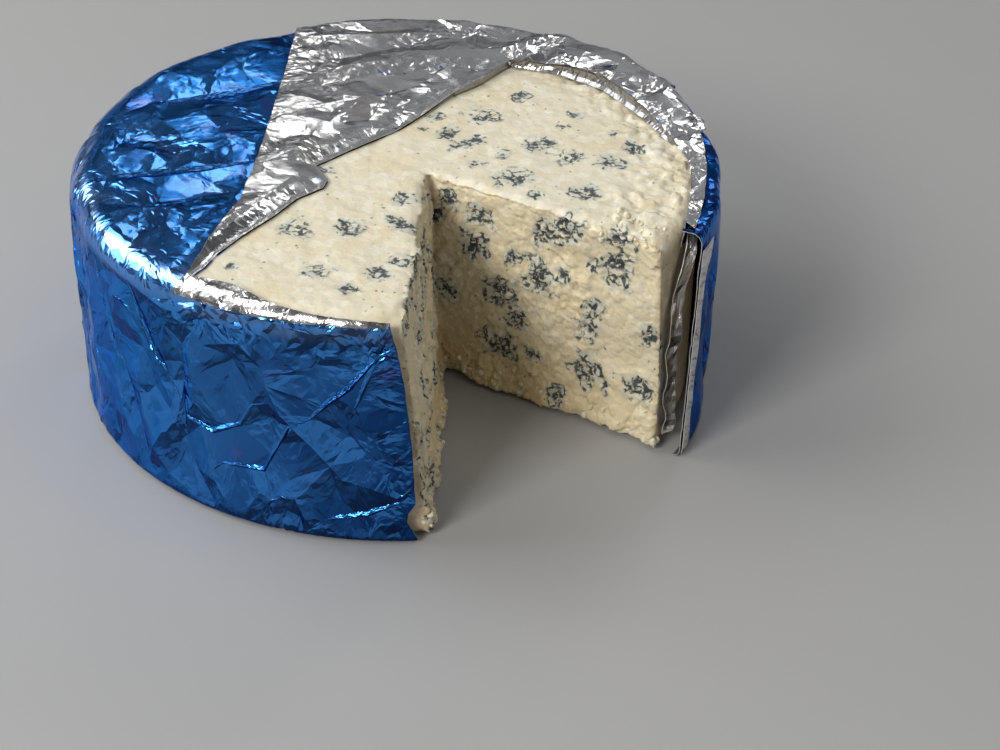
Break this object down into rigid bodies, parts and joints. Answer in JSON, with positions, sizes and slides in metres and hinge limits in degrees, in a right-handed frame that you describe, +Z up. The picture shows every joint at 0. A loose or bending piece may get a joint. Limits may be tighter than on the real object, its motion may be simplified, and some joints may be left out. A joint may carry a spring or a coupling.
{
  "type": "blue cheese wheel in opened foil wrap",
  "caption": "Round blue-veined cheese wheel with a wedge taken out, standing in its foil wrap, whose torn top is folded back.",
  "frame": {"origin": "middle of the base of the whole object, on the surface it stands on", "axes": "+Z up; -Y towards the viewer, along the left cut of the missing wedge; +X to the right"},
  "size_m": [0.2038, 0.203, 0.0828],
  "materials": {
    "cheese": "ivory, crumbly, with blue-green veins",
    "foil": "crumpled foil, blue lacquer outside and bare silver inside"
  },
  "bodies": {
    "root": {"cheese": "cheese", "foil_wrap": "foil"}
  },
  "joints": []
}
